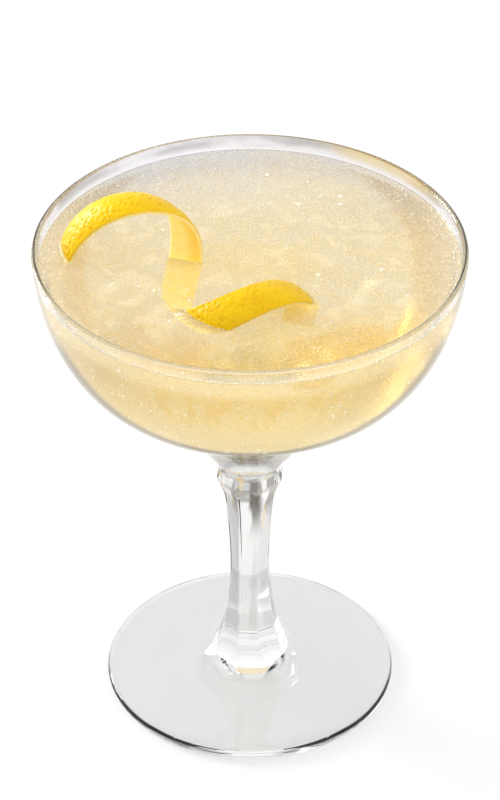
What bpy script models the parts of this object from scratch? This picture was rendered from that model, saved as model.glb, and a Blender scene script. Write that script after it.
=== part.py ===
# A sparkling gin and lemon cocktail in a cut-stem coupe, with a curled lemon peel.
# The foot stands on the ground at the origin, and the stem rises along +Z.

import math

import bmesh
import bpy
from mathutils import Vector

MM = 0.001
MERGE = 0.00001
GAP = 0.3 * MM

# Glass: heights are above the ground and depths are below the rim
GLASS_HEIGHT = 120.0 * MM
RIM_RADIUS = 48.0 * MM
BOWL_DEPTH = 37.65 * MM
BOWL_SIDE_POWER = 4.2
BOWL_FLOOR_POWER = 1.74
FLARE_RADIUS = 31.0 * MM
FLARE_PULL = 7.0 * MM
NECK_RADIUS = 7.0 * MM
NECK_DEPTH = 59.7 * MM
NECK_PULL = 10.0 * MM
NECK_SLOPE = 0.4
RIM_WALL = 1.3 * MM
FLOOR_WALL = 2.3 * MM
INNER_CURVE_RADIUS = 13.0 * MM
INNER_DEPTH = 47.5 * MM
BOWL_STEPS = 12
FLARE_STEPS = 8
LIP_STEPS = 5
ROUND_STEPS = 60

# Cut stem: corner radius and depth of each ring, eight flat sides
STEM_SIDES = 8
STEM_TURN = math.radians(-4.0)
STEM_RINGS = [
    (5.4 * MM, 57.0 * MM), (7.1 * MM, 59.4 * MM), (8.05 * MM, 61.6 * MM),
    (6.2 * MM, 67.0 * MM), (5.6 * MM, 72.5 * MM), (5.05 * MM, 80.0 * MM),
    (4.85 * MM, 86.0 * MM), (4.9 * MM, 92.0 * MM), (5.4 * MM, 97.7 * MM),
    (6.0 * MM, 102.0 * MM), (6.9 * MM, 106.5 * MM), (8.1 * MM, 110.2 * MM),
    (9.4 * MM, 113.2 * MM), (9.6 * MM, 116.0 * MM),
]

# Foot: radius and height of each ring, from the middle out, then under
FOOT_TOP = [
    (0.0, 7.0 * MM), (7.5 * MM, 6.8 * MM), (10.5 * MM, 5.9 * MM), (14.0 * MM, 4.8 * MM),
    (19.0 * MM, 3.8 * MM), (26.0 * MM, 2.8 * MM), (33.0 * MM, 2.1 * MM),
]
FOOT_EDGE = [(33.8 * MM, 1.75 * MM), (34.0 * MM, 1.1 * MM), (33.8 * MM, 0.4 * MM)]
FOOT_UNDER = [
    (33.2 * MM, 0.0), (25.0 * MM, 0.0), (21.0 * MM, 0.4 * MM), (14.0 * MM, 1.0 * MM),
    (7.0 * MM, 1.4 * MM), (0.0, 1.5 * MM),
]

# Drink: its level below the rim
DRINK_DEPTH = 4.35 * MM

# Lemon peel: one curl round an axis that lies across the drink
PEEL_WIDTH = 8.0 * MM
PEEL_BULGE = 0.8 * MM
PEEL_THICKNESS = 1.4 * MM
PEEL_STATIONS = 52
PEEL_TURNS = 1.562
PEEL_START = math.radians(-75.0)
PEEL_AXIS = [
    (-29.1 * MM, 4.7 * MM, -6.0 * MM), (-23.5 * MM, -13.9 * MM, 11.9 * MM),
    (-1.8 * MM, -2.2 * MM, -3.8 * MM), (-2.2 * MM, -16.7 * MM, -13.4 * MM),
    (4.3 * MM, -20.1 * MM, -12.2 * MM),
]
PEEL_RADII = [12.4 * MM, 8.7 * MM, 13.5 * MM, 14.1 * MM]
# How far the zest leans from straight out towards the front, pulled along the curl
PEEL_LEANS = [math.radians(lean) for lean in (8.7, 76.8, -57.9, -20.5, 6.0)]


def clear_scene():
    for item in list(bpy.data.objects):
        bpy.data.objects.remove(item, do_unlink=True)


def make_collection(name):
    collection = bpy.data.collections.new(name)
    bpy.context.scene.collection.children.link(collection)
    return collection


def make_material(name, color, roughness, transmission):
    material = bpy.data.materials.new(name)
    material.use_nodes = True
    surface = material.node_tree.nodes["Principled BSDF"]
    surface.inputs["Base Color"].default_value = (*color, 1.0)
    surface.inputs["Roughness"].default_value = roughness
    surface.inputs["Metallic"].default_value = 0.0
    surface.inputs["Transmission Weight"].default_value = transmission
    return material


def bezier(points, share):
    # A point on the curve that the control points pull, by repeated blending
    blend = [Vector(point) for point in points]
    while len(blend) > 1:
        blend = [a.lerp(b, share) for a, b in zip(blend, blend[1:])]
    return blend[0]


def superellipse_point(angle):
    radius = RIM_RADIUS * math.cos(angle) ** (2.0 / BOWL_SIDE_POWER)
    depth = BOWL_DEPTH * math.sin(angle) ** (2.0 / BOWL_FLOOR_POWER)
    return radius, depth


def outer_line():
    # Radius and depth from just under the lip, down the bowl and its flare to the neck
    last_angle = math.acos((FLARE_RADIUS / RIM_RADIUS) ** (BOWL_SIDE_POWER / 2.0))
    lip_share = (RIM_WALL / 2.0 / BOWL_DEPTH) ** (BOWL_FLOOR_POWER / 2.0)
    first_angle = math.asin(lip_share)
    line = []
    for step in range(BOWL_STEPS + 1):
        angle = first_angle + (last_angle - first_angle) * step / BOWL_STEPS
        line.append(superellipse_point(angle))
    start = Vector((*line[-1], 0.0))
    before = Vector((*superellipse_point(last_angle - 0.001), 0.0))
    heading = (start - before).normalized()
    neck = Vector((NECK_RADIUS, NECK_DEPTH, 0.0))
    neck_heading = Vector((-NECK_SLOPE, 1.0, 0.0)).normalized()
    pulls = [start, start + heading * FLARE_PULL, neck - neck_heading * NECK_PULL, neck]
    for step in range(1, FLARE_STEPS + 1):
        point = bezier(pulls, step / FLARE_STEPS)
        line.append((point.x, point.y))
    return line


def inner_line(gap):
    # The outer line moved inwards by the wall and the gap, rounded off to the middle
    outer = outer_line()
    line = []
    for before, here, after in zip([outer[0]] + outer, outer, outer[1:] + [outer[-1]]):
        along = Vector((after[0] - before[0], after[1] - before[1])).normalized()
        share = min(here[1] / BOWL_DEPTH, 1.0)
        wall = RIM_WALL + (FLOOR_WALL - RIM_WALL) * share ** 2 + gap
        radius = here[0] - along.y * wall
        depth = here[1] + along.x * wall
        if radius < INNER_CURVE_RADIUS:
            break
        line.append((radius, depth))
    floor = INNER_DEPTH - gap
    last, previous = line[-1], line[-2]
    slope = (last[1] - previous[1]) / (previous[0] - last[0])
    corner_radius = max(last[0] - (floor - last[1]) / slope, 0.5 * last[0])
    pulls = [(*last, 0.0), (corner_radius, floor, 0.0), (0.0, floor, 0.0)]
    for share in (0.25, 0.5, 0.75, 1.0):
        point = bezier(pulls, share)
        line.append((point.x, point.y))
    return line


def turned_solid(name, rings, collection, material):
    # Rings are (radius, height) pairs, down the outer side, turned round the Z axis
    mesh = bpy.data.meshes.new(name)
    vertices = [(radius, 0.0, height) for radius, height in rings]
    edges = [(index, index + 1) for index in range(len(rings) - 1)]
    mesh.from_pydata(vertices, edges, [])
    item = bpy.data.objects.new(name, mesh)
    collection.objects.link(item)
    turn = item.modifiers.new("Turn", "SCREW")
    turn.axis = "Z"
    turn.steps = ROUND_STEPS
    turn.render_steps = ROUND_STEPS
    turn.use_merge_vertices = True
    turn.merge_threshold = MERGE
    turn.use_smooth_shade = False
    item.data.materials.append(material)
    return item


def lip_arc():
    # The fire-polished lip, from its inner side over the top to its outer side
    half = RIM_WALL / 2.0
    middle = RIM_RADIUS - half
    arc = []
    for step in range(1, LIP_STEPS):
        angle = math.pi * (1.0 - step / LIP_STEPS)
        arc.append((middle + half * math.cos(angle), half * math.sin(angle)))
    return [(radius, half - rise) for radius, rise in arc]


def make_bowl(collection, material):
    inner = inner_line(0.0)
    line = list(reversed(inner)) + lip_arc() + outer_line()
    plug_depth = NECK_DEPTH + 1.5 * MM
    line += [(NECK_RADIUS * 0.85, plug_depth), (0.0, plug_depth)]
    rings = [(radius, GLASS_HEIGHT - depth) for radius, depth in line]
    return turned_solid("bowl", rings, collection, material)


def make_stem(collection, material):
    rings = [(radius, GLASS_HEIGHT - depth) for radius, depth in STEM_RINGS]
    line = [(0.0, rings[0][1])] + rings + [(0.0, rings[-1][1])]
    stem = turned_solid("stem", line, collection, material)
    stem.modifiers["Turn"].steps = STEM_SIDES
    stem.modifiers["Turn"].render_steps = STEM_SIDES
    # A flat side faces -Y before the small turn seen in the glass
    stem.rotation_euler = (0.0, 0.0, math.pi / STEM_SIDES + STEM_TURN)
    return stem


def make_foot(collection, material):
    return turned_solid("foot", FOOT_TOP + FOOT_EDGE + FOOT_UNDER, collection, material)


def combine(target, tool, operation):
    step = target.modifiers.new(operation.title(), "BOOLEAN")
    step.operation = operation
    step.object = tool
    step.solver = "EXACT"


def apply_modifiers(item):
    # Keeps the evaluated mesh as the object's own, without its modifiers
    bpy.context.view_layer.update()
    graph = bpy.context.evaluated_depsgraph_get()
    mesh = bpy.data.meshes.new_from_object(item.evaluated_get(graph))
    item.modifiers.clear()
    item.data = mesh


def shade(item, angle):
    item.data.shade_smooth()
    item.data.set_sharp_from_angle(angle=angle)


def make_glass(collection, helpers, material):
    glass = make_bowl(collection, material)
    glass.name = "glass"
    tools = [make_stem(helpers, material), make_foot(helpers, material)]
    for tool in tools:
        combine(glass, tool, "UNION")
    apply_modifiers(glass)
    for tool in tools:
        bpy.data.objects.remove(tool, do_unlink=True)
    shade(glass, math.radians(22.0))
    return glass


def peel_frames(extend):
    # Middle, outward direction and lean of the zest at each station along the curl
    frames = []
    level = Vector((0.0, 0.0, GLASS_HEIGHT))
    for index in range(PEEL_STATIONS + 1):
        share = index / PEEL_STATIONS
        middle = bezier(PEEL_AXIS, share)
        along = bezier([Vector(b) - Vector(a) for a, b in zip(PEEL_AXIS, PEEL_AXIS[1:])], share)
        along.normalize()
        side = along.cross(Vector((0.0, 0.0, 1.0))).normalized()
        upward = side.cross(along)
        radius = bezier([(value, 0.0, 0.0) for value in PEEL_RADII], share).x
        angle = PEEL_START + 2.0 * math.pi * PEEL_TURNS * share
        outward = upward * math.cos(angle) + side * -math.sin(angle)
        lean = bezier([(value, 0.0, 0.0) for value in PEEL_LEANS], share).x
        frames.append([level + middle + outward * radius, outward, lean])
    if extend:
        first = (frames[0][0] - frames[1][0]).normalized() * extend
        last = (frames[-1][0] - frames[-2][0]).normalized() * extend
        frames[0][0] = frames[0][0] + first
        frames[-1][0] = frames[-1][0] + last
    return frames


def peel_section(name, grow):
    # The peel's cross-section: domed zest outside, pith inside, soft corners
    half = PEEL_WIDTH / 2.0 + grow
    zest_edge = grow - 0.15 * MM
    corner = 0.35 * MM
    top = PEEL_BULGE + grow
    bottom = -PEEL_THICKNESS + 0.4 * MM - grow
    points = [
        (-half, zest_edge - corner), (-half + corner, zest_edge), (-half * 0.45, top * 0.8),
        (0.0, top), (half * 0.45, top * 0.8), (half - corner, zest_edge), (half, zest_edge - corner),
        (half - corner, -PEEL_THICKNESS - grow + corner), (half * 0.5, bottom - 0.12 * MM),
        (-half * 0.5, bottom - 0.12 * MM), (-half + corner, -PEEL_THICKNESS - grow + corner),
    ]
    curve = bpy.data.curves.new(name, "CURVE")
    curve.dimensions = "2D"
    spline = curve.splines.new("POLY")
    spline.points.add(len(points) - 1)
    for point, (across, out) in zip(spline.points, points):
        point.co = (across, out, 0.0, 1.0)
    spline.use_cyclic_u = True
    return bpy.data.objects.new(name, curve)


def make_peel(name, grow, collection, helpers, material):
    section = peel_section(name + "_section", grow)
    helpers.objects.link(section)
    frames = peel_frames(grow)
    curve = bpy.data.curves.new(name, "CURVE")
    curve.dimensions = "3D"
    curve.twist_mode = "Z_UP"
    curve.bevel_mode = "OBJECT"
    curve.bevel_object = section
    curve.use_fill_caps = True
    spline = curve.splines.new("POLY")
    spline.points.add(len(frames) - 1)
    places = [place for place, outward, lean in frames]
    for index, (place, outward, lean) in enumerate(frames):
        after = places[min(index + 1, len(places) - 1)]
        before = places[max(index - 1, 0)]
        heading = (after - before).normalized()
        across = heading.cross(outward).normalized()
        outward = across.cross(heading) * math.cos(lean) + across * math.sin(lean)
        level_side = heading.cross(Vector((0.0, 0.0, 1.0))).normalized()
        upright = level_side.cross(heading)
        spline.points[index].co = (*place, 1.0)
        spline.points[index].tilt = math.atan2(outward.dot(level_side), outward.dot(upright))
    path = bpy.data.objects.new(name + "_path", curve)
    helpers.objects.link(path)
    bpy.context.view_layer.update()
    graph = bpy.context.evaluated_depsgraph_get()
    mesh = bpy.data.meshes.new_from_object(path.evaluated_get(graph))
    mesh.name = name
    shape = bmesh.new()
    shape.from_mesh(mesh)
    bmesh.ops.remove_doubles(shape, verts=shape.verts, dist=MERGE)
    bmesh.ops.recalc_face_normals(shape, faces=shape.faces)
    shape.to_mesh(mesh)
    shape.free()
    mesh.materials.clear()
    mesh.materials.append(material)
    peel = bpy.data.objects.new(name, mesh)
    peel.matrix_world = path.matrix_world
    collection.objects.link(peel)
    bpy.data.objects.remove(path, do_unlink=True)
    bpy.data.objects.remove(section, do_unlink=True)
    return peel


def make_drink(collection, helpers, material):
    wall = inner_line(GAP)
    below = [(radius, depth) for radius, depth in wall if depth > DRINK_DEPTH]
    above = [(radius, depth) for radius, depth in wall if depth <= DRINK_DEPTH][-1]
    share = (DRINK_DEPTH - above[1]) / (below[0][1] - above[1])
    edge = above[0] + (below[0][0] - above[0]) * share
    line = [(0.0, DRINK_DEPTH), (edge, DRINK_DEPTH)] + below
    rings = [(radius, GLASS_HEIGHT - depth) for radius, depth in line]
    drink = turned_solid("drink", rings, collection, material)
    room = make_peel("peel_room", GAP, helpers, helpers, material)
    combine(drink, room, "DIFFERENCE")
    apply_modifiers(drink)
    bpy.data.objects.remove(room, do_unlink=True)
    shade(drink, math.radians(35.0))
    return drink


def main():
    clear_scene()
    parts = make_collection("gin_lemon_coupe")
    helpers = make_collection("helpers")
    clear_glass = make_material("clear_glass", (0.93, 0.95, 0.94), 0.02, 1.0)
    pale_drink = make_material("pale_drink", (0.91, 0.80, 0.52), 0.05, 0.8)
    lemon_zest = make_material("lemon_zest", (0.98, 0.76, 0.02), 0.4, 0.0)
    make_glass(parts, helpers, clear_glass)
    make_drink(parts, helpers, pale_drink)
    peel = make_peel("lemon_twist", 0.0, parts, helpers, lemon_zest)
    shade(peel, math.radians(40.0))


main()
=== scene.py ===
# Looks for a sparkling gin and lemon cocktail: the coupe, the drink, the lemon curl and the bubbles.

import math
import random

import bmesh
import bpy
from mathutils import Matrix, Vector, noise


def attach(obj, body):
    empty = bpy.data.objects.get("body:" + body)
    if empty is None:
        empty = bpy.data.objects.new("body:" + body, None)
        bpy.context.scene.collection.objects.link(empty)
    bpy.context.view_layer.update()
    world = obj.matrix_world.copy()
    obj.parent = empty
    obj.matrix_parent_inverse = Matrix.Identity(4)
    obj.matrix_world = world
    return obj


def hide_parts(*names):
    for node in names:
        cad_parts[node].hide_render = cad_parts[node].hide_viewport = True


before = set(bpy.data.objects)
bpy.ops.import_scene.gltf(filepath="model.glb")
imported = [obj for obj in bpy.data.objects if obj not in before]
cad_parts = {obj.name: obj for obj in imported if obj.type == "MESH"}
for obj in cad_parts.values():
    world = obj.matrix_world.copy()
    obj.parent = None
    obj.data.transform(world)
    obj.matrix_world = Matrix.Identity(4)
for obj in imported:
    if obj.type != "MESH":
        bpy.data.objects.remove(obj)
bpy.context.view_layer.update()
mm = 0.001
mergeDistance = 0.000001


# Small tools that several pieces use

def bezier(points, share):
    # A point on the curve that the control points pull
    blend = [Vector(point) for point in points]
    while len(blend) > 1:
        blend = [a.lerp(b, share) for a, b in zip(blend, blend[1:])]
    return blend[0]


def easeStep(value):
    value = min(max(value, 0.0), 1.0)
    return value * value * (3.0 - 2.0 * value)


def smoothThrough(table, place):
    # A smooth value at a place, through a table of (place, value) rows
    places = [row[0] for row in table]
    values = [row[1] for row in table]
    slopes = [(b - a) / (q - p) for a, b, p, q in zip(values, values[1:], places, places[1:])]
    leans = [slopes[0]] + [(a + b) / 2.0 for a, b in zip(slopes, slopes[1:])] + [slopes[-1]]
    last = len(table) - 2
    index = max(i for i in range(last + 1) if i == 0 or places[i] <= place)
    span = places[index + 1] - places[index]
    t = (place - places[index]) / span
    start, end = values[index], values[index + 1]
    leanStart, leanEnd = leans[index] * span, leans[index + 1] * span
    curve = (2.0 * start - 2.0 * end + leanStart + leanEnd) * t ** 3
    curve += (3.0 * end - 3.0 * start - 2.0 * leanStart - leanEnd) * t ** 2
    return curve + leanStart * t + start


def spinLine(line, steps, startAngle=0.0):
    # Turns a line of (radius, height) pairs round the Z axis into a closed shape
    shape = bmesh.new()
    points = [shape.verts.new((radius, 0.0, height)) for radius, height in line]
    for here, after in zip(points, points[1:]):
        shape.edges.new((here, after))
    bmesh.ops.spin(shape, geom=shape.verts[:] + shape.edges[:], cent=(0, 0, 0), axis=(0, 0, 1),
                   dvec=(0, 0, 0), angle=math.tau, steps=steps, use_merge=True, use_duplicate=False)
    bmesh.ops.remove_doubles(shape, verts=shape.verts[:], dist=mergeDistance)
    bmesh.ops.recalc_face_normals(shape, faces=shape.faces[:])
    bmesh.ops.rotate(shape, verts=shape.verts[:], cent=(0, 0, 0),
                     matrix=Matrix.Rotation(startAngle, 3, "Z"))
    return shape


def addPiece(name, shape, finish, nodes=(), sharpAngle=60.0):
    mesh = bpy.data.meshes.new(name)
    shape.to_mesh(mesh)
    shape.free()
    mesh.shade_smooth()
    mesh.set_sharp_from_angle(angle=math.radians(sharpAngle))
    mesh.materials.append(finish)
    piece = bpy.data.objects.new(name, mesh)
    bpy.context.scene.collection.objects.link(piece)
    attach(piece, "root")
    if nodes:
        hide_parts(*nodes)
    print(name, "made with", len(mesh.polygons), "faces")


# Shader maths: a wire is one socket, and sums on wires add Math nodes

class Wire:
    def __init__(self, socket):
        self.socket = socket

    def math(self, operation, *others):
        node = self.socket.id_data.nodes.new("ShaderNodeMath")
        node.operation = operation
        for socket, value in zip(node.inputs, (self,) + others):
            plug(socket, value)
        return Wire(node.outputs[0])

    def __add__(self, other):
        return self.math("ADD", other)

    def __sub__(self, other):
        return self.math("SUBTRACT", other)

    def __rsub__(self, other):
        return (self * -1.0).math("ADD", other)

    def __mul__(self, other):
        return self.math("MULTIPLY", other)

    __radd__ = __add__
    __rmul__ = __mul__

    def ramp(self, low, high):
        # 0 at low, 1 at high, with soft ends
        node = self.socket.id_data.nodes.new("ShaderNodeMapRange")
        node.interpolation_type = "SMOOTHSTEP"
        for socket, value in zip(node.inputs, (self, low, high, 0.0, 1.0)):
            plug(socket, value)
        return Wire(node.outputs[0])

    def span(self, rise, fall):
        # 1 between two places, with soft ends
        return self.ramp(*rise) * self.ramp(*fall)


def plug(socket, value):
    if isinstance(value, Wire):
        socket.id_data.links.new(value.socket, socket)
    elif isinstance(value, tuple) and len(value) == 3 and socket.type == "RGBA":
        socket.default_value = (*value, 1.0)
    else:
        socket.default_value = value


class Finish:
    def __init__(self, name):
        self.material = bpy.data.materials.new(name)
        self.material.use_nodes = True
        self.tree = self.material.node_tree
        self.tree.nodes.clear()
        self.place = self.node("ShaderNodeTexCoord", output="Object")

    def node(self, kind, settings=None, sockets=None, output=0):
        node = self.tree.nodes.new(kind)
        for name, value in (settings or {}).items():
            setattr(node, name, value)
        for key, value in (sockets or {}).items():
            plug(node.inputs[key], value)
        return Wire(node.outputs[output])

    def mix(self, factor, a, b):
        return self.node("ShaderNodeMix", {"data_type": "RGBA"}, {0: factor, 6: a, 7: b}, 2)

    def noise(self, scale, detail=2.0, stretch=(1.0, 1.0, 1.0)):
        place = self.place
        if stretch != (1.0, 1.0, 1.0):
            place = self.node("ShaderNodeMapping", {}, {"Vector": place, "Scale": stretch})
        return self.node("ShaderNodeTexNoise", {}, {"Vector": place, "Scale": scale, "Detail": detail})

    def cells(self, scale):
        return self.node("ShaderNodeTexVoronoi", {}, {"Vector": self.place, "Scale": scale}, "Distance")

    def attribute(self, name):
        return self.node("ShaderNodeAttribute", {"attribute_name": name}, {}, "Fac")

    def axis(self, letter):
        return self.node("ShaderNodeSeparateXYZ", {}, {0: self.place}, letter)

    def bump(self, height, strength, distance):
        return self.node("ShaderNodeBump", {}, {"Height": height, "Strength": strength,
                                                "Distance": distance})

    def surface(self, sockets, volume=None):
        skin = self.node("ShaderNodeBsdfPrincipled", {}, sockets)
        end = self.tree.nodes.new("ShaderNodeOutputMaterial")
        plug(end.inputs["Surface"], skin)
        if volume:
            plug(end.inputs["Volume"], volume)
        return self.material


# Coupe: depths are below the rim, in metres

coupe = {
    "height": 120.0 * mm, "rimRadius": 48.0 * mm, "bowlDepth": 37.65 * mm,
    "sidePower": 4.2, "floorPower": 1.74,
    "flareRadius": 31.0 * mm, "flarePull": 7.0 * mm,
    "neckRadius": 7.0 * mm, "neckDepth": 59.7 * mm, "neckPull": 10.0 * mm, "neckSlope": 0.4,
    "rimWall": 1.3 * mm, "floorWall": 2.3 * mm,
    "innerCurveRadius": 13.0 * mm, "innerDepth": 47.5 * mm,
    "bowlSteps": 48, "flareSteps": 28, "floorSteps": 14, "lipSteps": 16, "roundSteps": 192,
}
cutStem = {
    "sides": 8, "turn": math.radians(-4.0), "cornerTrim": 0.987,
    "knopTop": [(57.0 * mm, 5.4 * mm), (59.4 * mm, 7.1 * mm), (61.6 * mm, 8.05 * mm)],
    "corners": [
        (61.6 * mm, 8.05 * mm), (67.0 * mm, 6.2 * mm), (72.5 * mm, 5.6 * mm),
        (80.0 * mm, 5.05 * mm), (86.0 * mm, 4.85 * mm), (92.0 * mm, 4.9 * mm),
        (97.7 * mm, 5.4 * mm), (102.0 * mm, 6.0 * mm), (106.5 * mm, 6.9 * mm),
        (110.2 * mm, 8.1 * mm), (112.2 * mm, 9.1 * mm), (113.6 * mm, 10.3 * mm),
    ],
    "firstCut": 59.2 * mm, "fullCut": 60.2 * mm, "lastFullCut": 109.5 * mm, "lastCut": 113.4 * mm,
    # Rings: six down to the knop's top, some close round its edge, the others evenly spaced
    "neckRings": 6, "neckSpacing": 0.25 * mm, "knopRings": (-0.18 * mm, 0.0, 0.18 * mm, 0.6 * mm),
    "firstEven": 1.2 * mm, "evenRings": 52, "meanShare": 0.962,
}
foot = {
    # Radius and height of the top, from the stem outwards
    "top": [(10.3 * mm, 6.4 * mm), (12.0 * mm, 5.5 * mm), (14.0 * mm, 4.8 * mm),
            (19.0 * mm, 3.8 * mm), (26.0 * mm, 2.8 * mm), (33.1 * mm, 2.1 * mm)],
    "edgeRadius": 33.1 * mm, "edgeOut": 0.9 * mm, "edgeHalf": 1.05 * mm,
    "topSteps": 30, "edgeSteps": 12,
    "under": [(25.0 * mm, 0.0), (23.0 * mm, 0.15 * mm), (21.0 * mm, 0.4 * mm),
              (14.0 * mm, 1.0 * mm), (7.0 * mm, 1.4 * mm), (0.0, 1.5 * mm)],
}


def bowlPoint(angle):
    radius = coupe["rimRadius"] * math.cos(angle) ** (2.0 / coupe["sidePower"])
    depth = coupe["bowlDepth"] * math.sin(angle) ** (2.0 / coupe["floorPower"])
    return radius, depth


def bowlOutside():
    # Radius and depth from just under the lip, down the bowl and its flare to the neck
    narrowing = coupe["flareRadius"] / coupe["rimRadius"]
    lastAngle = math.acos(narrowing ** (coupe["sidePower"] / 2.0))
    lipShare = (coupe["rimWall"] / 2.0 / coupe["bowlDepth"]) ** (coupe["floorPower"] / 2.0)
    firstAngle = math.asin(lipShare)
    line = []
    for step in range(coupe["bowlSteps"] + 1):
        line.append(bowlPoint(firstAngle + (lastAngle - firstAngle) * step / coupe["bowlSteps"]))
    start = Vector((*line[-1], 0.0))
    before = Vector((*bowlPoint(lastAngle - 0.001), 0.0))
    heading = (start - before).normalized()
    neck = Vector((coupe["neckRadius"], coupe["neckDepth"], 0.0))
    neckHeading = Vector((-coupe["neckSlope"], 1.0, 0.0)).normalized()
    pulls = [start, start + heading * coupe["flarePull"], neck - neckHeading * coupe["neckPull"], neck]
    for step in range(1, coupe["flareSteps"] + 1):
        point = bezier(pulls, step / coupe["flareSteps"])
        line.append((point.x, point.y))
    return line


def bowlInside(inset):
    # The outside moved inwards by the wall and the inset, rounded off to the middle
    outside = bowlOutside()
    line = []
    for before, here, after in zip([outside[0]] + outside, outside, outside[1:] + [outside[-1]]):
        along = Vector((after[0] - before[0], after[1] - before[1])).normalized()
        share = min(here[1] / coupe["bowlDepth"], 1.0)
        wall = coupe["rimWall"] + (coupe["floorWall"] - coupe["rimWall"]) * share ** 2 + inset
        radius, depth = here[0] - along.y * wall, here[1] + along.x * wall
        if radius < coupe["innerCurveRadius"]:
            break
        line.append((radius, depth))
    floorDepth = coupe["innerDepth"] - inset
    last, previous = line[-1], line[-2]
    slope = (last[1] - previous[1]) / (previous[0] - last[0])
    cornerRadius = max(last[0] - (floorDepth - last[1]) / slope, 0.5 * last[0])
    pulls = [(*last, 0.0), (cornerRadius, floorDepth, 0.0), (0.0, floorDepth, 0.0)]
    for step in range(1, coupe["floorSteps"] + 1):
        point = bezier(pulls, step / coupe["floorSteps"])
        line.append((point.x, point.y))
    return line


def lipLine():
    half = coupe["rimWall"] / 2.0
    angles = [math.pi * (1.0 - step / coupe["lipSteps"]) for step in range(1, coupe["lipSteps"])]
    middle = coupe["rimRadius"] - half
    return [(middle + half * math.cos(angle), half - half * math.sin(angle)) for angle in angles]


def stemCorner(depth):
    if depth < cutStem["corners"][0][0]:
        return smoothThrough(cutStem["knopTop"], depth)
    return smoothThrough(cutStem["corners"], depth)


def stemLine():
    # Closely spaced rings where the knop turns, then about one a millimetre
    knop, lastDepth = cutStem["corners"][0][0], cutStem["corners"][-1][0]
    first, steps = cutStem["firstEven"], cutStem["evenRings"]
    depths = [coupe["neckDepth"] + cutStem["neckSpacing"] * step
              for step in range(1, cutStem["neckRings"] + 1)]
    depths += [knop + shift for shift in cutStem["knopRings"]]
    depths += [knop + first + (lastDepth - knop - first) * step / steps for step in range(steps)]
    return [(stemCorner(depth) * cutStem["meanShare"], depth) for depth in depths]


def footLine():
    # Radius and height: over the top, round the edge and under to the middle
    first, last = foot["top"][0][0], foot["top"][-1][0]
    line = []
    for step in range(foot["topSteps"]):
        radius = first + (last - first) * step / foot["topSteps"]
        line.append((radius, smoothThrough(foot["top"], radius)))
    for step in range(foot["edgeSteps"] + 1):
        angle = math.pi * (0.5 - step / foot["edgeSteps"])
        line.append((foot["edgeRadius"] + foot["edgeOut"] * math.cos(angle),
                     foot["edgeHalf"] + foot["edgeHalf"] * math.sin(angle)))
    return line + foot["under"]


def cutFacets(shape):
    # Presses the round stem to its flat sides, with slim soft corners between them
    pitch = math.tau / cutStem["sides"]
    firstCorner = -math.pi / 2.0 + cutStem["turn"] + pitch / 2.0
    for vert in shape.verts:
        depth = coupe["height"] - vert.co.z
        if not cutStem["firstCut"] < depth < cutStem["lastCut"]:
            continue
        share = easeStep((depth - cutStem["firstCut"]) / (cutStem["fullCut"] - cutStem["firstCut"]))
        share *= easeStep((cutStem["lastCut"] - depth) / (cutStem["lastCut"] - cutStem["lastFullCut"]))
        radius = math.hypot(vert.co.x, vert.co.y)
        swing = (math.atan2(vert.co.y, vert.co.x) - firstCorner) % pitch - pitch / 2.0
        corner = stemCorner(depth)
        flat = corner * math.cos(pitch / 2.0) / math.cos(swing)
        flat = min(flat, corner * cutStem["cornerTrim"])
        stretch = (radius + (flat - radius) * share) / radius
        vert.co.x *= stretch
        vert.co.y *= stretch


glassLook = {
    # Apart from the clear and faint tints, these colours are painted light: reflections of the room, glints,
    # a painted shadow and a grey outline
    "clear": (0.995, 0.998, 0.996), "faint": (0.975, 0.985, 0.98), "film": (0.86, 0.85, 0.88),
    "reflectionPatch": (0.80, 0.77, 0.76), "stemReflectionGrey": (0.31, 0.30, 0.30), "shadow": (0.07, 0.05, 0.03),
    "amber": (0.88, 0.58, 0.14), "outline": (0.12, 0.12, 0.13),
    "rimReflectionGrey": (0.48, 0.46, 0.46), "rimAmberReflection": (0.80, 0.62, 0.28),
    "mostHaze": 0.025, "bend": 1.5, "filmFade": 1.0 * mm, "filmBack": (-0.01, 0.02),
    # Heights of the marks above the ground and their places across, each as (rise, fall)
    "rimBand": (116.4 * mm, 118.4 * mm), "rimBack": (0.0, 0.02),
    "rimAmber": ((15.0 * mm, 25.0 * mm), (45.0 * mm, 38.0 * mm)),
    "stemHeights": ((9.0 * mm, 20.0 * mm), (57.0 * mm, 54.0 * mm)),
    "leftFlat": (-2.2 * mm, -3.0 * mm), "wander": 3.0 * mm,
    "wedgeAcross": ((0.2 * mm, 0.8 * mm), (3.2 * mm, 2.4 * mm)),
    "wedgeHeights": ((40.0 * mm, 52.0 * mm), (57.5 * mm, 56.0 * mm)),
    "underAcross": ((-4.0 * mm, -3.2 * mm), (1.4 * mm, 0.6 * mm)),
    "underHeights": ((53.0 * mm, 54.5 * mm), (58.0 * mm, 57.0 * mm)),
    "knopAcross": ((-4.2 * mm, -3.6 * mm), (2.2 * mm, 1.6 * mm)),
    "knopHeights": ((57.0 * mm, 57.8 * mm), (62.2 * mm, 61.4 * mm)),
    "glintHeights": ((38.0 * mm, 48.0 * mm), (67.0 * mm, 64.0 * mm)),
    "lowerBowl": ((60.0 * mm, 66.0 * mm), (113.65 * mm, 105.65 * mm)),
    "thinLine": (0.75, 0.90), "wideLine": (0.69, 0.79),
}


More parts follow.
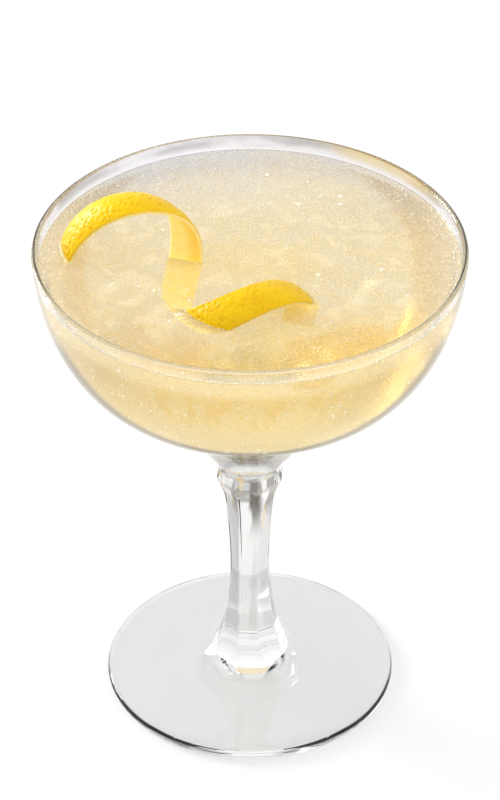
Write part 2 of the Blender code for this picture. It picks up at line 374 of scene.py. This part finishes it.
def glassFinish():
    look = glassLook
    finish = Finish("clear glass")
    x, y, z = finish.axis("X"), finish.axis("Y"), finish.axis("Z")
    haze = finish.noise(55.0, 1.0)
    tint = finish.mix(haze, look["clear"], look["faint"])
    # A pale grey-lilac painted reflection on the wall above the drink, with greyer painted patches of
    # reflected room
    above = z.ramp(drinkLevel, drinkLevel + look["filmFade"]) * y.ramp(*look["filmBack"])
    patches = finish.noise(45.0, 1.0, (1.0, 1.0, 0.3)).ramp(0.48, 0.66) * x.ramp(-0.02, 0.03)
    tint = finish.mix(above, tint, finish.mix(patches, look["film"], look["reflectionPatch"]))
    # Painted reflections: grey wisps along the back of the rim, and amber at its right
    rimBand = z.ramp(*look["rimBand"]) * y.ramp(*look["rimBack"])
    wisps = finish.noise(70.0, 2.0, (1.0, 1.0, 3.0)).ramp(0.40, 0.58)
    tint = finish.mix(rimBand * (wisps * 0.75 + 0.15), tint, look["rimReflectionGrey"])
    tint = finish.mix(rimBand * x.span(*look["rimAmber"]) * 0.7, tint, look["rimAmberReflection"])
    # Painted reflections of the room down the cut stem, where its flats mirror it: smoky grey and amber
    # streaks, a greyer left flat, a painted shadow wedge and a grey knop front
    streaks = finish.noise(330.0, 1.0, (1.0, 1.0, 0.05))
    left = x.ramp(*look["leftFlat"]) * 0.75
    stemReflectionGrey = (left + streaks.ramp(0.52, 0.6) * 0.35).math("MINIMUM", 0.9)
    tint = finish.mix(stemReflectionGrey * z.span(*look["stemHeights"]), tint, look["stemReflectionGrey"])
    across = x + (finish.noise(120.0, 1.0) * look["wander"] - look["wander"] / 2.0)
    # A dark painted shadow wedge down the stem and a painted shadow under the knop
    wedge = across.span(*look["wedgeAcross"]) * z.span(*look["wedgeHeights"])
    under = z.span(*look["underHeights"]) * across.span(*look["underAcross"])
    tint = finish.mix((wedge + under * 0.8).math("MINIMUM", 0.9), tint, look["shadow"])
    # A painted grey reflection on the front flats of the knop, with streaks
    front = across.span(*look["knopAcross"]) * 0.75
    knop = z.span(*look["knopHeights"]) * (front + streaks.ramp(0.5, 0.62) * 0.25)
    tint = finish.mix(knop, tint, look["stemReflectionGrey"])
    # Painted amber glints along the stem
    glints = finish.noise(420.0, 1.0, (1.0, 1.0, 0.25)).ramp(0.58, 0.66)
    tint = finish.mix(glints * z.span(*look["glintHeights"]) * 0.7, tint, look["amber"])
    # A painted grey outline where the wall is seen edge on, standing in for dark reflections, wider round
    # the lower bowl
    facing = finish.node("ShaderNodeLayerWeight", {}, {"Blend": 0.5}, "Facing")
    wide = facing.ramp(*look["wideLine"]) * z.span(*look["lowerBowl"])
    outline = (facing.ramp(*look["thinLine"]) * 0.8).math("MAXIMUM", wide)
    tint = finish.mix(outline, tint, look["outline"])
    waves = finish.noise(90.0, 1.0, (1.0, 1.0, 0.5))
    return finish.surface({
        "Base Color": tint, "Roughness": haze.ramp(0.45, 0.75) * look["mostHaze"], "IOR": look["bend"],
        "Transmission Weight": 1.0, "Normal": finish.bump(waves, 0.25, 0.0004)})


def makeCoupe():
    line = list(reversed(bowlInside(0.0))) + lipLine() + bowlOutside() + stemLine()
    rings = [(radius, coupe["height"] - depth) for radius, depth in line] + footLine()
    # The spin starts at a corner of the stem, so that each flat side ends on a column of faces
    column = math.tau / coupe["roundSteps"]
    corner = -math.pi / 2.0 + cutStem["turn"] + math.pi / cutStem["sides"]
    shape = spinLine(rings, coupe["roundSteps"], corner - round(corner / column) * column)
    cutFacets(shape)
    addPiece("coupe_glass", shape, glassFinish(), ["glass"], sharpAngle=14.0)


# Drink: it reaches just into the wall, so that no air shows between them

drink = {
    "depth": 4.35 * mm, "intoWall": 0.12 * mm,
    "climb": 0.85 * mm, "climbWidth": 1.7 * mm, "climbPower": 2.4,
    "flatSteps": 26, "climbSteps": 7, "roundSteps": 160,
    # Besides the surface, side, speck, mottle and cloud colours, these colours are painted light:
    # reflections, highlights, caustic streaks and glow
    "surfaceColour": (0.66, 0.60, 0.50), "sideColour": (0.98, 0.86, 0.56),
    "backReflectionColour": (0.69, 0.70, 0.76), "speckColour": (1.0, 0.95, 0.78),
    "mottleColour": (0.74, 0.60, 0.36), "causticStreakColour": (0.84, 0.54, 0.10),
    "glowColour": (1.0, 0.94, 0.68), "frontLightColour": (0.86, 0.62, 0.16),
    "cloudColour": (1.0, 0.92, 0.78), "rippleHighlightColour": (1.0, 0.96, 0.84),
    "edgeHighlightColour": (0.95, 0.88, 0.74), "ringInside": 41.5 * mm, "ringOutside": 45.0 * mm,
    "lemonLightColour": (0.76, 0.60, 0.26), "haloMiddle": 2.0 * mm, "haloReach": 12.0 * mm,
    "warmLightColour": (0.9, 0.72, 0.30),
    "clear": 0.72, "bend": 1.34, "absorbColour": (0.99, 0.80, 0.10), "absorbDensity": 12.0,
    "glow": 0.30, "glowShare": 0.25, "lowGlow": 0.34,
    # Depths below the level, each from where a colour starts to where it is full
    "sideDepths": (0.0, 12.0 * mm), "topDepths": (0.3 * mm, 2.0 * mm),
    "bandDepths": (16.0 * mm, 7.0 * mm), "upperDepths": (10.0 * mm, 4.0 * mm),
    "glowDepths": (12.0 * mm, 25.0 * mm), "lowDepths": (12.0 * mm, 26.0 * mm),
    "ringDepths": (5.0 * mm, 2.0 * mm), "endDepths": (22.0 * mm, 8.0 * mm),
    "rippleDepths": (19.0 * mm, 26.0 * mm),
    # Places across the drink, in metres
    "middleAcross": ((-0.026, -0.014), (0.026, 0.010)), "glowAcross": (0.002, 0.03),
    "glowFront": (-0.008, -0.022), "back": (0.010, 0.042), "front": (0.020, 0.042),
    "warmAcross": (-0.02, 0.04), "endsAcross": (0.030, 0.045), "ringBack": (0.0, 0.036),
}
drinkLevel = coupe["height"] - drink["depth"]


def drinkFinish():
    look = drink
    finish = Finish("pale sparkling drink")
    x, y, z = finish.axis("X"), finish.axis("Y"), finish.axis("Z")

    def deeper(depths):
        return z.ramp(drinkLevel - depths[0], drinkLevel - depths[1])

    def squares(reach):
        return reach[0] ** 2, reach[1] ** 2

    # The surface: mottled, with pale swirls and a painted warm halo of lemon light right of the curl
    down = deeper(look["sideDepths"])
    onTop = 1.0 - down
    clouds = finish.noise(38.0, 1.0)
    mottle = finish.noise(380.0, 2.0)
    base = finish.mix(down, look["surfaceColour"], look["sideColour"])
    base = finish.mix(mottle.ramp(0.42, 0.64) * 0.42 * onTop, base, look["mottleColour"])
    swirls = finish.node("ShaderNodeTexNoise", {}, {
        "Vector": finish.place, "Scale": 110.0, "Detail": 2.0, "Distortion": 1.6})
    base = finish.mix(swirls.ramp(0.50, 0.66) * 0.35 * onTop, base, look["cloudColour"])
    right = x - look["haloMiddle"]
    halo = (right * right * 0.45 + y * y).ramp(look["haloReach"] ** 2, (0.25 * look["haloReach"]) ** 2)
    base = finish.mix(halo * onTop * 0.45, base, look["lemonLightColour"])
    # The side: painted golden caustic streaks under the level, and a painted bright patch of light low at
    # the right
    streaks = finish.noise(430.0, 1.0, (1.0, 1.0, 0.06)).ramp(0.44, 0.62)
    top = deeper(look["topDepths"])
    band, upper = top * deeper(look["bandDepths"]), top * deeper(look["upperDepths"])
    middle = x.span(*look["middleAcross"])
    gold = (band * (streaks * 0.55 + 0.15) + upper * 0.15) * (middle * 0.85 + 0.15)
    base = finish.mix(gold, base, look["causticStreakColour"])
    glow = x.ramp(*look["glowAcross"]) * deeper(look["glowDepths"]) * y.ramp(*look["glowFront"])
    base = finish.mix(glow * 0.7, base, look["glowColour"])
    # Painted light: greyer at the back as a painted reflection, golden at the front, painted warm light
    # towards the right, and painted highlights round the edge and at both ends
    base = finish.mix(y.ramp(*look["back"]) * onTop * 0.9, base, look["backReflectionColour"])
    front = (x * 0.25 - y).ramp(*look["front"]) * onTop
    base = finish.mix(front * 0.8, base, look["frontLightColour"])
    warm = (clouds.ramp(0.4, 0.7) * 0.35) * x.ramp(*look["warmAcross"])
    base = finish.mix(warm, base, look["warmLightColour"])
    ring = (x * x + y * y).ramp(look["ringInside"] ** 2, look["ringOutside"] ** 2) * onTop
    ring = ring * (1.0 - y.ramp(*look["ringBack"]) * 0.85)
    ring = ring * (deeper(look["ringDepths"]) * 0.7 + 0.3)
    base = finish.mix(ring * 0.75, base, look["edgeHighlightColour"])
    ends = (x * x).ramp(*squares(look["endsAcross"])) * deeper(look["endDepths"])
    base = finish.mix(ends * 0.6, base, look["edgeHighlightColour"])
    # Pale ripples under the level, as painted highlights
    ripples = finish.noise(240.0, 1.0, (0.3, 0.3, 1.8)).ramp(0.48, 0.62)
    base = finish.mix(ripples * deeper(look["rippleDepths"]) * 0.75, base, look["rippleHighlightColour"])
    # Specks of foam, and a painted glow given off by the drink, stronger low down, at the bright patch, at
    # the ends and along the front edge
    specks = 1.0 - finish.cells(1350.0).ramp(0.14, 0.34)
    patches = finish.noise(230.0, 2.0).ramp(0.40, 0.60)
    base = finish.mix(specks * patches * 0.8, base, look["speckColour"])
    shine = finish.mix(look["glowShare"], (0.0, 0.0, 0.0), base)
    low = deeper(look["lowDepths"]) * look["lowGlow"]
    low = low + glow * 0.6 + ends * 0.06 + ring * y.ramp(0.0, -0.03) * 0.3
    shine = finish.mix(low, shine, look["glowColour"])
    grain = finish.noise(1400.0, 1.0)
    volume = finish.node("ShaderNodeVolumeAbsorption", {}, {
        "Color": look["absorbColour"], "Density": look["absorbDensity"]})
    return finish.surface({
        "Base Color": base, "Roughness": clouds.ramp(0.3, 0.8) * 0.06 + 0.03, "IOR": look["bend"],
        "Transmission Weight": look["clear"],
        "Emission Color": shine, "Emission Strength": look["glow"],
        "Normal": finish.bump(grain + specks, 0.25, 0.0002)}, volume)


def makeDrink():
    wall = bowlInside(-drink["intoWall"])
    wallTop = drink["depth"] - drink["climb"]
    below = [point for point in wall if point[1] > wallTop]
    above = [point for point in wall if point[1] <= wallTop][-1]
    share = (wallTop - above[1]) / (below[0][1] - above[1])
    edge = above[0] + (below[0][0] - above[0]) * share
    line = [(edge * step / drink["flatSteps"] * (1.0 - drink["climbWidth"] / edge), drink["depth"])
            for step in range(drink["flatSteps"] + 1)]
    for step in range(1, drink["climbSteps"] + 1):
        rise = step / drink["climbSteps"]
        radius = edge - drink["climbWidth"] * (1.0 - rise)
        line.append((radius, drink["depth"] - drink["climb"] * rise ** drink["climbPower"]))
    rings = [(radius, coupe["height"] - depth) for radius, depth in line + below]
    shape = spinLine(rings, drink["roundSteps"])
    addPiece("sparkling_drink", shape, drinkFinish(), ["drink"], sharpAngle=50.0)


# Lemon curl: one strip wound round an axis that lies across the drink

curl = {
    "halfWidth": 4.0 * mm, "bulge": 0.8 * mm, "edgeDrop": 0.95 * mm, "thickness": 1.1 * mm,
    "turns": 1.562, "start": math.radians(-75.0),
    "longSteps": 620, "wideSteps": 36, "sideSteps": 3,
    "axis": [(-29.1 * mm, 4.7 * mm, -6.0 * mm), (-23.5 * mm, -13.9 * mm, 11.9 * mm),
             (-1.8 * mm, -2.2 * mm, -3.8 * mm), (-2.2 * mm, -16.7 * mm, -13.4 * mm),
             (4.3 * mm, -20.1 * mm, -12.2 * mm)],
    "radii": [12.4 * mm, 8.7 * mm, 13.5 * mm, 14.1 * mm],
    "leans": [math.radians(lean) for lean in (8.7, 76.8, -57.9, -20.5, 6.0)],
    "poreSpacing": 1.1 * mm, "poreDepth": 0.26 * mm, "poreFade": 0.08,
    "waver": 0.22 * mm, "narrower": 0.16 * mm, "sideSwell": 0.14 * mm, "pithWaver": 0.12 * mm,
    "inset": 0.08 * mm, "domePower": 2.2, "swellPower": 8,
    "zestShare": 0.18, "zestFade": 0.2, "endSteps": 7.0,
    "zestColour": (0.92, 0.585, 0.002), "deepZestColour": (0.78, 0.43, 0.0),
    "pithColour": (1.0, 0.78, 0.26), "fibreColour": (1.0, 0.72, 0.16),
    "rimColour": (1.0, 0.92, 0.60), "litThroughColour": (0.90, 0.58, 0.03), "cloudedColour": (0.97, 0.81, 0.12),
    "glow": 0.62, "pithGlow": 0.24, "skinGloss": 0.22, "skinSheen": (1.0, 0.97, 0.7),
    # Heights above the level and below it, where the drink begins to cloud the strip
    "cloudedHeights": (2.0 * mm, -4.5 * mm), "wetHeights": (-0.2 * mm, 0.4 * mm),
    "deepHeights": (-6.0 * mm, -14.0 * mm),
}


def curlPlace(share):
    # A point of the strip's middle line, and the straight way out from the curl's axis
    middle = bezier(curl["axis"], share)
    steps = [Vector(b) - Vector(a) for a, b in zip(curl["axis"], curl["axis"][1:])]
    along = bezier(steps, share).normalized()
    side = along.cross(Vector((0.0, 0.0, 1.0))).normalized()
    upward = side.cross(along)
    radius = bezier([(value, 0.0, 0.0) for value in curl["radii"]], share).x
    angle = curl["start"] + math.tau * curl["turns"] * share
    outward = upward * math.cos(angle) + side * -math.sin(angle)
    return Vector((0.0, 0.0, coupe["height"])) + middle + outward * radius, outward


def curlFrames(steps):
    # Middle, outward and sideways directions at each step, with the zest leaning to the front
    points = [curlPlace(step / steps) for step in range(steps + 1)]
    frames = []
    for step, (place, outward) in enumerate(points):
        heading = points[min(step + 1, steps)][0] - points[max(step - 1, 0)][0]
        heading.normalize()
        across = heading.cross(outward).normalized()
        lean = bezier([(value, 0.0, 0.0) for value in curl["leans"]], step / steps).x
        square = across.cross(heading)
        outward = square * math.cos(lean) + across * math.sin(lean)
        frames.append((place, outward, outward.cross(heading)))
    return frames


def poreAt(place):
    near = noise.voronoi(place / curl["poreSpacing"])[0][0]
    return 1.0 - easeStep(near / 0.5)


def makeCurl():
    shape = bmesh.new()
    bmesh.ops.create_grid(shape, x_segments=curl["longSteps"], y_segments=curl["wideSteps"], size=0.5)
    skin = shape.faces[:]
    bottom = bmesh.ops.extrude_face_region(shape, geom=skin)["geom"]
    bottomVerts = [item for item in bottom if isinstance(item, bmesh.types.BMVert)]
    bmesh.ops.translate(shape, verts=bottomVerts, vec=(0.0, 0.0, -1.0))
    uprights = [edge for edge in shape.edges if abs(edge.verts[0].co.z - edge.verts[1].co.z) > 0.5]
    bmesh.ops.subdivide_edges(shape, edges=uprights, cuts=curl["sideSteps"])
    bmesh.ops.recalc_face_normals(shape, faces=shape.faces[:])
    frames = curlFrames(curl["longSteps"])
    zest = shape.verts.layers.float.new("zest")
    pit = shape.verts.layers.float.new("pit")
    rim = shape.verts.layers.float.new("rim")
    front = shape.verts.layers.float.new("front")
    for vert in shape.verts:
        share, across, down = vert.co.x + 0.5, vert.co.y * 2.0, -vert.co.z
        place, outward, sideways = frames[round(share * curl["longSteps"])]
        edge = 1.0 if across > 0.0 else -1.0
        waver = noise.noise(Vector((share * 70.0, edge * 9.0, 0.0))) * curl["waver"]
        waver += noise.noise(Vector((share * 260.0, edge * 5.0, 3.0))) * curl["waver"] * 0.35
        # The middle of the cut side stands out a little, so its rims are soft
        halfWidth = curl["halfWidth"] - curl["narrower"] + min(waver, 0.0) * abs(across)
        halfWidth += curl["sideSwell"] * math.sin(math.pi * down) * abs(across) ** curl["swellPower"]
        dome = curl["bulge"] - curl["edgeDrop"] * abs(across) ** curl["domePower"]
        uneven = noise.noise(Vector((share * 50.0, across * 2.0, 7.0)))
        floor = curl["pithWaver"] * uneven - curl["thickness"]
        height = dome + (floor - dome) * down
        flatPlace = place + sideways * (across * halfWidth)
        pore = poreAt(flatPlace) if down < 0.01 else 0.0
        fade = easeStep((1.0 - abs(across)) / curl["poreFade"])
        height -= curl["poreDepth"] * pore * fade
        fromStart, fromEnd = share * curl["longSteps"], (1.0 - share) * curl["longSteps"]
        # Zest on top alone, and pale pith on the cut sides and on the end that shows
        skin = 1.0 - easeStep((down - curl["zestShare"]) / curl["zestFade"])
        vert[zest] = skin * easeStep((fromStart - 1.0) / 5.0)
        vert[pit] = pore * fade
        pale = easeStep((across - 0.86) / 0.12) + 0.3 * easeStep((-across - 0.9) / 0.1)
        pale = max(pale, easeStep(1.5 - fromEnd)) * easeStep(down * 3.0)
        vert[rim] = max(pale, easeStep((curl["endSteps"] - fromStart) / 3.0))
        vert[front] = easeStep((0.3 - across) / 1.1)
        vert.co = flatPlace + outward * (height - curl["inset"])
    addPiece("lemon_curl", shape, curlFinish(), ["lemon_twist"], sharpAngle=50.0)


def curlFinish():
    look = curl
    finish = Finish("lemon zest and pith")
    zest, pit = finish.attribute("zest"), finish.attribute("pit")
    rim, front = finish.attribute("rim"), finish.attribute("front")
    mottle = finish.noise(140.0, 3.0)
    fibres = finish.noise(600.0, 4.0)
    deepShare = (mottle.ramp(0.35, 0.75) * 0.4 + pit * 0.45).math("MINIMUM", 1.0)
    skin = finish.mix(deepShare, look["zestColour"], look["deepZestColour"])
    pith = finish.mix(fibres.ramp(0.35, 0.7) * 0.6, look["pithColour"], look["fibreColour"])
    # Painted light through the strip: the pith turns gold towards one side
    pith = finish.mix(front * 0.65, pith, look["litThroughColour"])
    pith = finish.mix(rim, pith, look["rimColour"])
    base = finish.mix(zest, pith, skin)
    # Under the level the strip takes the drink's colour with a painted glow that fades deeper down, and the
    # pith has a painted glow of its own
    z = finish.axis("Z")

    def fromLevel(heights):
        return z.ramp(drinkLevel + heights[0], drinkLevel + heights[1])

    clouded = fromLevel(look["cloudedHeights"]) * (1.0 - zest * fromLevel(look["wetHeights"]))
    deep = fromLevel(look["deepHeights"])
    base = finish.mix(clouded * 0.7, base, look["cloudedColour"])
    shine = finish.mix((1.0 - zest) * look["pithGlow"], (0.0, 0.0, 0.0), base)
    shine = finish.mix(clouded * (1.0 - deep * 0.8), shine, look["cloudedColour"])
    grain = finish.cells(1500.0) * 0.6 + fibres * 0.6 + finish.noise(850.0, 2.0) * zest * 1.6
    return finish.surface({
        "Base Color": base, "Roughness": 0.55 - zest * 0.33 + fibres * 0.08,
        "Subsurface Weight": 0.15, "Subsurface Radius": (1.0, 0.6, 0.1), "Subsurface Scale": 0.0012,
        "Specular IOR Level": look["skinGloss"], "Specular Tint": look["skinSheen"],
        "Emission Color": shine, "Emission Strength": look["glow"],
        "Normal": finish.bump(grain, 0.5, 0.00025)})


# Bubbles: small balls on the surface, round the wall and in the drink

bubbles = {
    "surfaceCount": 7800, "wallCount": 420, "insideCount": 1500, "bigCount": 60,
    "small": (0.055 * mm, 0.15 * mm), "big": (0.26 * mm, 0.5 * mm),
    "clusters": [(-19.4 * mm, 13.4 * mm), (-15.4 * mm, -20.4 * mm), (-20.5 * mm, -11.0 * mm),
                 (10.5 * mm, 24.0 * mm), (-30.0 * mm, -9.0 * mm)],
    "clusterCount": 7, "clusterReach": 0.9 * mm, "bigStep": 45,
    "fromWall": 0.6 * mm, "wallBand": 1.2 * mm, "crowdScale": 90.0, "crowdLeast": 0.25,
    "firstDepth": 1.0 * mm, "depthReach": 36.0 * mm,
    "paleFilm": (1.0, 0.97, 0.87), "deepFilm": (0.98, 0.91, 0.74), "glow": 0.1, "insideGlow": 0.5,
}


def ballField(name, places, sides, rings, finish):
    # Doubles one small ball until there are enough, then moves and sizes each copy by its number
    shape = bmesh.new()
    bmesh.ops.create_uvsphere(shape, u_segments=sides, v_segments=rings, radius=1.0)
    number = shape.verts.layers.int.new("number")
    count = 1
    while count < len(places):
        copies = bmesh.ops.duplicate(shape, geom=shape.verts[:] + shape.edges[:] + shape.faces[:])
        for item in copies["geom"]:
            if isinstance(item, bmesh.types.BMVert):
                item[number] += count
        count *= 2
    spare = [vert for vert in shape.verts if vert[number] >= len(places)]
    bmesh.ops.delete(shape, geom=spare, context="VERTS")
    for vert in shape.verts:
        centre, radius = places[vert[number]]
        vert.co = centre + vert.co * radius
    addPiece(name, shape, finish, sharpAngle=180.0)


def bubbleFinish(name, glow):
    finish = Finish(name)
    sheen = finish.noise(500.0, 2.0)
    tint = finish.mix(sheen, bubbles["paleFilm"], bubbles["deepFilm"])
    # A painted glow in the bubble's own tint, stronger for the bubbles in the drink
    return finish.surface({"Base Color": tint, "Roughness": sheen * 0.1 + 0.12, "IOR": 1.33,
                           "Emission Color": tint, "Emission Strength": glow})


def wallRadius(depth):
    line = bowlInside(0.0)
    for (radiusA, depthA), (radiusB, depthB) in zip(line, line[1:]):
        if depthA <= depth <= depthB:
            return radiusA + (radiusB - radiusA) * (depth - depthA) / (depthB - depthA)
    return line[0][0]


def onCircle(radius, angle, height):
    return Vector((radius * math.cos(angle), radius * math.sin(angle), height))


def makeBubbles():
    pick = random.Random(75)
    finish = bubbleFinish("bubble film", bubbles["glow"])
    small, big = bubbles["small"], bubbles["big"]
    atWall = wallRadius(drink["depth"])
    reach = atWall - bubbles["fromWall"]
    # Fine foam all over the surface, thicker in places
    surface = []
    while len(surface) < bubbles["surfaceCount"]:
        radius = reach * math.sqrt(pick.random())
        angle = pick.random() * math.tau
        spot = onCircle(radius, angle, 0.0)
        crowd = noise.noise(spot * bubbles["crowdScale"]) * 0.5 + 0.5
        if pick.random() > bubbles["crowdLeast"] + crowd:
            continue
        size = small[0] + (small[1] - small[0]) * pick.random() ** 2.5
        spot.z = drinkLevel + size * 0.1
        surface.append((spot, size))
    ballField("surface_bubbles", surface, 6, 3, finish)
    # A line of bubbles along the wall, some bigger ones and a few small groups
    ring = []
    for index in range(bubbles["wallCount"]):
        angle = math.tau * (index + pick.random() * 0.8) / bubbles["wallCount"]
        size = small[0] + (big[0] * 1.2 - small[0]) * pick.random() ** 2
        radius = atWall - size - pick.random() ** 2 * bubbles["wallBand"]
        share = max(0.0, 1.0 - (atWall - radius) / drink["climbWidth"])
        rise = drink["climb"] * share ** drink["climbPower"]
        ring.append((onCircle(radius, angle, drinkLevel + rise), size))
    for index in range(bubbles["bigCount"]):
        radius = reach * math.sqrt(pick.random())
        angle = pick.random() * math.tau
        size = small[1] + (big[1] - small[1]) * pick.random() ** 3
        ring.append((onCircle(radius, angle, drinkLevel), size))
    for x, y in bubbles["clusters"]:
        for index in range(bubbles["clusterCount"]):
            size = small[1] + (big[0] - small[1]) * pick.random() * 1.3
            shift = Vector((pick.uniform(-1.0, 1.0), pick.uniform(-0.6, 0.6), 0.0)) * bubbles["clusterReach"]
            ring.append((Vector((x, y, drinkLevel + size * 0.2)) + shift, size))
    ballField("rim_bubbles", ring, 10, 6, finish)
    # Bubbles that cling to the inside of the bowl
    inside = []
    while len(inside) < bubbles["insideCount"]:
        depth = drink["depth"] + bubbles["firstDepth"] + bubbles["depthReach"] * pick.random()
        angle = pick.random() * math.tau
        size = small[1] * 0.8 + (big[0] * 1.2 - small[1] * 0.8) * pick.random() ** 2
        if len(inside) % bubbles["bigStep"] == 0:
            size = big[0] + (big[1] - big[0]) * pick.random()
        radius = wallRadius(depth) - size * 0.3
        inside.append((onCircle(radius, angle, coupe["height"] - depth), size))
    insideFinish = bubbleFinish("bubble film in the drink", bubbles["insideGlow"])
    ballField("clinging_bubbles", inside, 9, 6, insideFinish)


makeCoupe()
makeDrink()
makeCurl()
makeBubbles()


# Studio: a plain pale floor, a soft white room and one soft light from behind on the left

studio = {
    "floorRadius": 4.0, "floorGap": 0.15 * mm, "floorColour": (0.93, 0.93, 0.93),
    "horizon": (0.82, 0.82, 0.83), "middle": (0.97, 0.97, 0.97), "zenith": (1.12, 1.12, 1.12),
    "paleShade": (0.92, 0.92, 0.925), "floorGlow": 0.5,
    "middleStop": 0.35, "zenithStop": 0.9,
    "lightPlace": (-0.72, 0.47, 0.31), "lightAim": (0.0, 0.0, 0.1), "lightSize": 0.36, "lightPower": 6.4,
    "lens": 149.0, "sensor": 36.0, "cameraPlace": (0.0, -0.6090, 0.5163),
    "cameraTilt": math.radians(54.29), "nearest": 0.01,
    "bounces": 16, "mirrorBounces": 6,
}


def makeFloor():
    shape = bmesh.new()
    bmesh.ops.create_circle(shape, cap_ends=True, segments=96, radius=studio["floorRadius"])
    mesh = bpy.data.meshes.new("floor")
    bmesh.ops.translate(shape, verts=shape.verts[:], vec=(0.0, 0.0, -studio["floorGap"]))
    shape.to_mesh(mesh)
    shape.free()
    finish = Finish("pale floor")
    shade = finish.mix(finish.noise(3.0), studio["floorColour"], studio["paleShade"])
    mesh.materials.append(finish.surface({
        "Base Color": finish.mix(0.5, (0.0, 0.0, 0.0), shade), "Roughness": 0.9,
        "Emission Color": shade, "Emission Strength": studio["floorGlow"]}))
    floor = bpy.data.objects.new("floor", mesh)
    bpy.context.scene.collection.objects.link(floor)


def makeRoom():
    world = bpy.data.worlds.new("soft room")
    world.use_nodes = True
    bpy.context.scene.world = world
    tree = world.node_tree
    backdrop = tree.nodes["Background"]
    place = tree.nodes.new("ShaderNodeTexCoord")
    split = tree.nodes.new("ShaderNodeSeparateXYZ")
    ramp = tree.nodes.new("ShaderNodeValToRGB")
    tree.links.new(place.outputs["Generated"], split.inputs[0])
    tree.links.new(split.outputs["Z"], ramp.inputs[0])
    stops = ramp.color_ramp.elements
    stops[0].position, stops[0].color = 0.0, (*studio["horizon"], 1.0)
    stops[1].position, stops[1].color = studio["zenithStop"], (*studio["zenith"], 1.0)
    middle = stops.new(studio["middleStop"])
    middle.color = (*studio["middle"], 1.0)
    tree.links.new(ramp.outputs[0], backdrop.inputs["Color"])
    backdrop.inputs["Strength"].default_value = 1.0
    lamp = bpy.data.lights.new("soft light", "AREA")
    lamp.size = studio["lightSize"]
    lamp.energy = studio["lightPower"]
    light = bpy.data.objects.new("soft light", lamp)
    light.location = studio["lightPlace"]
    aim = Vector(studio["lightAim"]) - light.location
    light.rotation_euler = aim.to_track_quat("-Z", "Y").to_euler()
    bpy.context.scene.collection.objects.link(light)


def makeCamera():
    lens = bpy.data.cameras.new("camera")
    lens.lens = studio["lens"]
    lens.sensor_width = studio["sensor"]
    lens.clip_start = studio["nearest"]
    camera = bpy.data.objects.new("camera", lens)
    camera.location = studio["cameraPlace"]
    camera.rotation_euler = (studio["cameraTilt"], 0.0, 0.0)
    bpy.context.scene.collection.objects.link(camera)
    bpy.context.scene.camera = camera


makeFloor()
makeRoom()
makeCamera()
scene = bpy.context.scene
scene.view_settings.view_transform = "Standard"
# Light has to pass many walls of glass and drink; few mirror bounces keep the outlines grey
scene.cycles.max_bounces = studio["bounces"]
scene.cycles.transmission_bounces = studio["bounces"]
scene.cycles.glossy_bounces = studio["mirrorBounces"]
print("studio ready")
